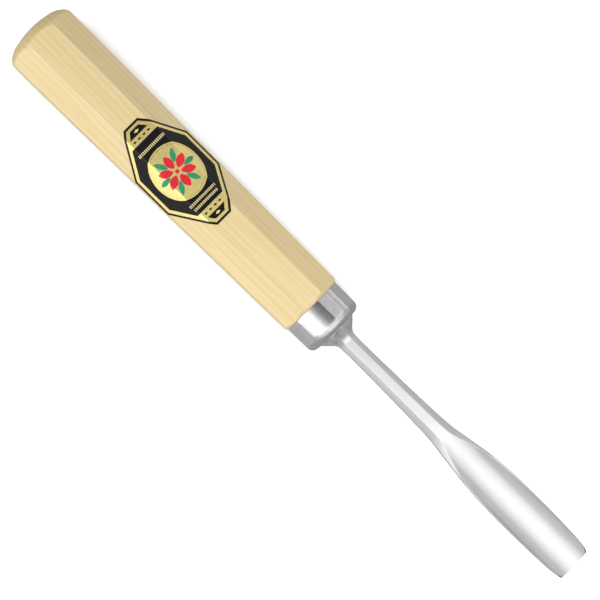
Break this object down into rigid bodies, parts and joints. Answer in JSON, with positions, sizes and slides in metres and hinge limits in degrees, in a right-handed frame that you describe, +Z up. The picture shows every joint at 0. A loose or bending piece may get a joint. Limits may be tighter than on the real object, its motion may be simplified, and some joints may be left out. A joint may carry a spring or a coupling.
{
  "type": "carving gouge",
  "caption": "Straight wood-carving gouge: octagonal wooden handle, steel ferrule, forged octagonal shank and a deep fluted blade with a full rounded edge.",
  "frame": {"origin": "on the floor, under the middle of the tool's bounding box, with the tool lying on one flat of its octagonal handle", "axes": "+X runs from the handle's crown to the cutting edge, +Z is up out of the flute's open side, and +Y completes the right-handed frame"},
  "size_m": [0.26, 0.0266, 0.0265],
  "materials": {
    "handle_wood": "fine straight grain, lightly lacquered",
    "ferrule_steel": "drawn and polished",
    "blade_steel": "ground along its length and satin polished",
    "label_foil": "glossy gold foil printed in black, red and green"
  },
  "bodies": {
    "root": {"handle": "handle_wood", "ferrule": "ferrule_steel", "blade": "blade_steel", "label": "label_foil"}
  },
  "joints": []
}
